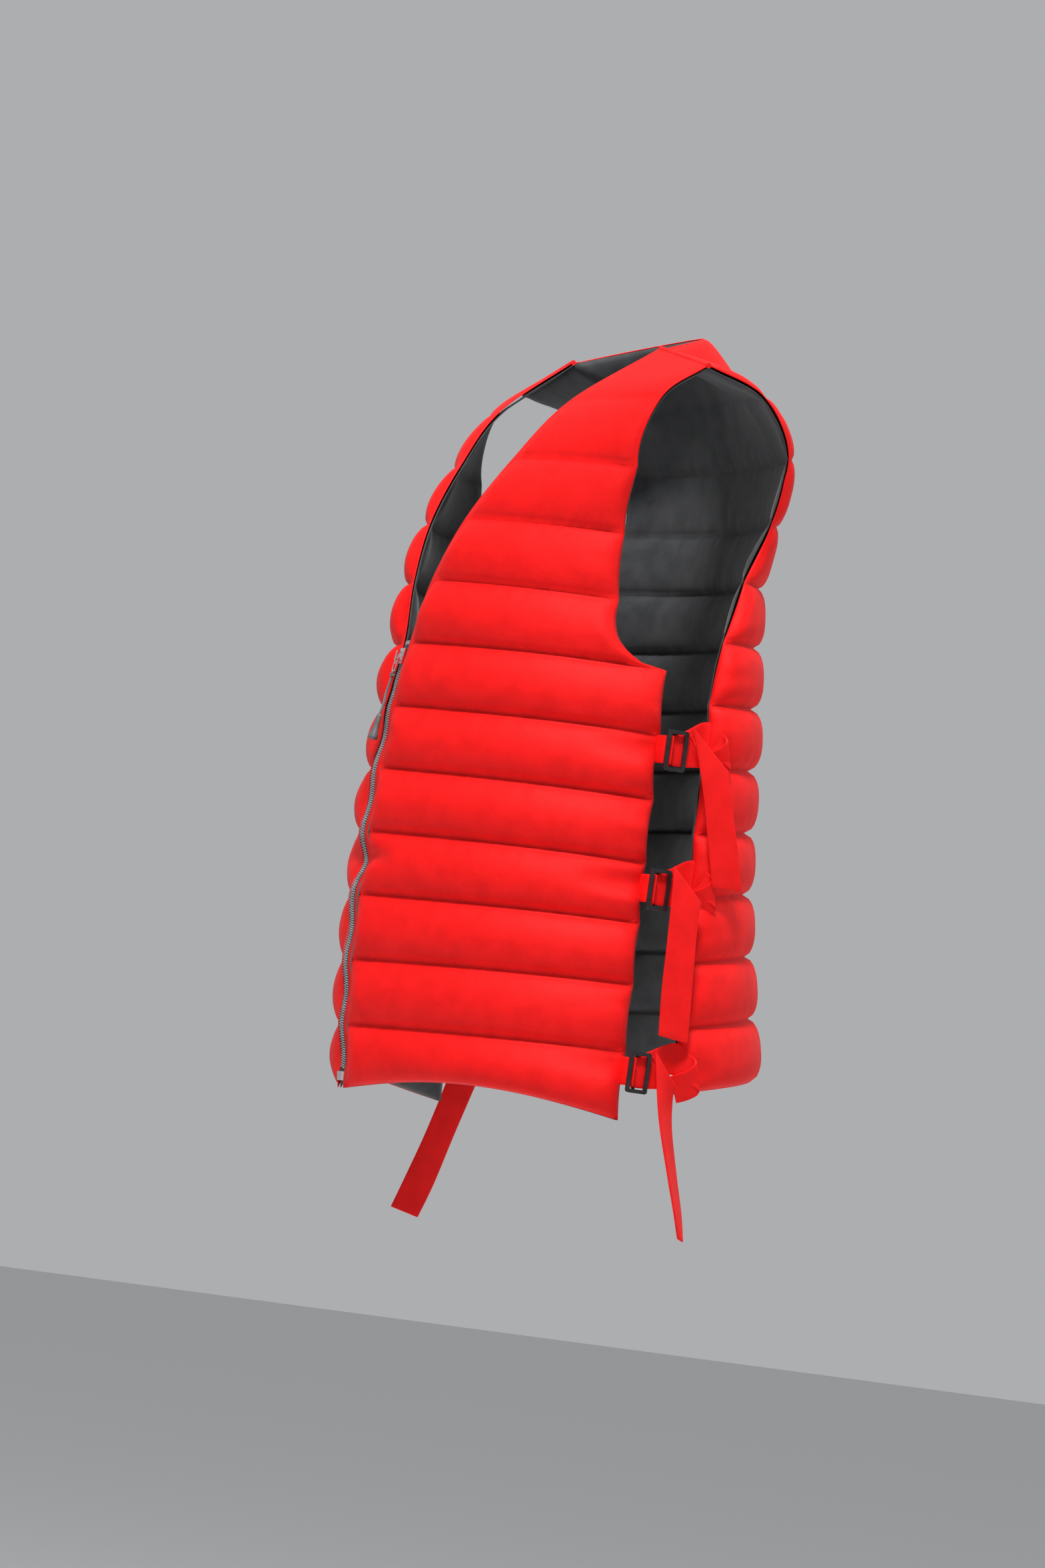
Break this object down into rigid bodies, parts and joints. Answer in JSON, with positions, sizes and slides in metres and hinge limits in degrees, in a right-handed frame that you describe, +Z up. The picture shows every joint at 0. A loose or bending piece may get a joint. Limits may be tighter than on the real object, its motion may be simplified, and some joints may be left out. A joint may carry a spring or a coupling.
{
  "type": "inflatable life jacket",
  "caption": "Sleeveless quilted inflatable vest with a V neck, a front zip with corded pull, and adjusting straps with buckles bridging each open side.",
  "frame": {"origin": "at shoulder level, midway between the two side-neck points where the vest rests on the shoulders", "axes": "+Z up, the wearer faces -Y, the wearer's left is +X"},
  "size_m": [0.4106, 0.357, 0.7352],
  "materials": {
    "shell_fabric": "fine twill",
    "lining_fabric": "matt weave",
    "bladder_film": "welded film",
    "strap_webbing": "fine twill",
    "zip_tape": "woven tape",
    "zip_coil": "nylon coil",
    "zip_metal": "polished",
    "pull_cord": "braided",
    "toggle_rubber": "matt",
    "buckle_plastic": "moulded",
    "valve_plastic": "moulded",
    "valve_mouthpiece": "soft"
  },
  "bodies": {
    "vest": {"front_left_shell": "shell_fabric", "front_left_lining": "lining_fabric", "front_left_air_bladder": "bladder_film", "front_right_shell": "shell_fabric", "front_right_lining": "lining_fabric", "front_right_air_bladder": "bladder_film", "back_shell": "shell_fabric", "back_lining": "lining_fabric", "back_air_bladder": "bladder_film", "zip_tape_left": "zip_tape", "zip_teeth_left": "zip_coil", "zip_tape_right": "zip_tape", "zip_teeth_right": "zip_coil", "zip_top_stops": "zip_metal", "zip_bottom_box": "zip_coil", "valve_body": "valve_plastic", "upper_strap_left": "strap_webbing", "upper_strap_right": "strap_webbing", "middle_strap_left": "strap_webbing", "middle_strap_right": "strap_webbing", "lower_strap_left": "strap_webbing", "lower_strap_right": "strap_webbing"},
    "zip_slider": {"zip_slider_body": "zip_metal"},
    "zip_pull": {"zip_pull_loop": "zip_metal", "zip_pull_cord": "pull_cord", "zip_pull_knot": "pull_cord", "zip_pull_toggle": "toggle_rubber"},
    "valve_stem": {"valve_stem": "valve_mouthpiece"},
    "valve_cap": {"valve_cap": "valve_plastic"},
    "upper_buckle_left": {"upper_buckle_left": "buckle_plastic", "upper_anchor_loop_left": "strap_webbing"},
    "upper_tail_left": {"upper_strap_tail_left": "strap_webbing"},
    "upper_buckle_right": {"upper_buckle_right": "buckle_plastic", "upper_anchor_loop_right": "strap_webbing"},
    "upper_tail_right": {"upper_strap_tail_right": "strap_webbing"},
    "middle_buckle_left": {"middle_buckle_left": "buckle_plastic", "middle_anchor_loop_left": "strap_webbing"},
    "middle_tail_left": {"middle_strap_tail_left": "strap_webbing"},
    "middle_buckle_right": {"middle_buckle_right": "buckle_plastic", "middle_anchor_loop_right": "strap_webbing"},
    "middle_tail_right": {"middle_strap_tail_right": "strap_webbing"},
    "lower_buckle_left": {"lower_buckle_left": "buckle_plastic", "lower_anchor_loop_left": "strap_webbing"},
    "lower_tail_left": {"lower_strap_tail_left": "strap_webbing"},
    "lower_buckle_right": {"lower_buckle_right": "buckle_plastic", "lower_anchor_loop_right": "strap_webbing"},
    "lower_tail_right": {"lower_strap_tail_right": "strap_webbing"}
  },
  "joints": [
    {"name": "zip_slide", "type": "hinge", "parent": "vest", "child": "zip_slider", "pos_m": [0, 0.9, -0.45], "axis": [1, 0, 0], "range_deg": [0, 17.4]},
    {"name": "zip_pull_swing", "type": "hinge", "parent": "zip_slider", "child": "zip_pull", "pos_m": [0, -0.15089, -0.2698], "axis": [-1, 0, 0], "range_deg": [0, 160]},
    {"name": "valve_press", "type": "slide", "parent": "vest", "child": "valve_stem", "axis": [0, 0, -1], "range_m": [0, 0.004], "stiffness_N_per_m": 400},
    {"name": "valve_cap_pull", "type": "slide", "parent": "vest", "child": "valve_cap", "axis": [0, 0, 1], "range_m": [0, 0.022]},
    {"name": "upper_buckle_slide_left", "type": "slide", "parent": "vest", "child": "upper_buckle_left", "axis": [0, 1, 0], "range_m": [0, 0.008]},
    {"name": "upper_tail_swing_left", "type": "hinge", "parent": "vest", "child": "upper_tail_left", "pos_m": [0.1913, 0.05, -0.322], "axis": [0, -1, 0], "range_deg": [0, 80]},
    {"name": "upper_buckle_slide_right", "type": "slide", "parent": "vest", "child": "upper_buckle_right", "axis": [0, 1, 0], "range_m": [0, 0.008]},
    {"name": "upper_tail_swing_right", "type": "hinge", "parent": "vest", "child": "upper_tail_right", "pos_m": [-0.1913, 0.05, -0.322], "axis": [0, 1, 0], "range_deg": [0, 80]},
    {"name": "middle_buckle_slide_left", "type": "slide", "parent": "vest", "child": "middle_buckle_left", "axis": [0, 1, 0], "range_m": [0, 0.008]},
    {"name": "middle_tail_swing_left", "type": "hinge", "parent": "vest", "child": "middle_tail_left", "pos_m": [0.1983, 0.041, -0.432], "axis": [0, -1, 0], "range_deg": [0, 80]},
    {"name": "middle_buckle_slide_right", "type": "slide", "parent": "vest", "child": "middle_buckle_right", "axis": [0, 1, 0], "range_m": [0, 0.008]},
    {"name": "middle_tail_swing_right", "type": "hinge", "parent": "vest", "child": "middle_tail_right", "pos_m": [-0.1983, 0.041, -0.432], "axis": [0, 1, 0], "range_deg": [0, 80]},
    {"name": "lower_buckle_slide_left", "type": "slide", "parent": "vest", "child": "lower_buckle_left", "axis": [0, 1, 0], "range_m": [0, 0.008]},
    {"name": "lower_tail_swing_left", "type": "hinge", "parent": "vest", "child": "lower_tail_left", "pos_m": [0.2038, 0.041, -0.576], "axis": [0, -1, 0], "range_deg": [0, 80]},
    {"name": "lower_buckle_slide_right", "type": "slide", "parent": "vest", "child": "lower_buckle_right", "axis": [0, 1, 0], "range_m": [0, 0.008]},
    {"name": "lower_tail_swing_right", "type": "hinge", "parent": "vest", "child": "lower_tail_right", "pos_m": [-0.2038, 0.041, -0.576], "axis": [0, 1, 0], "range_deg": [0, 80]}
  ]
}
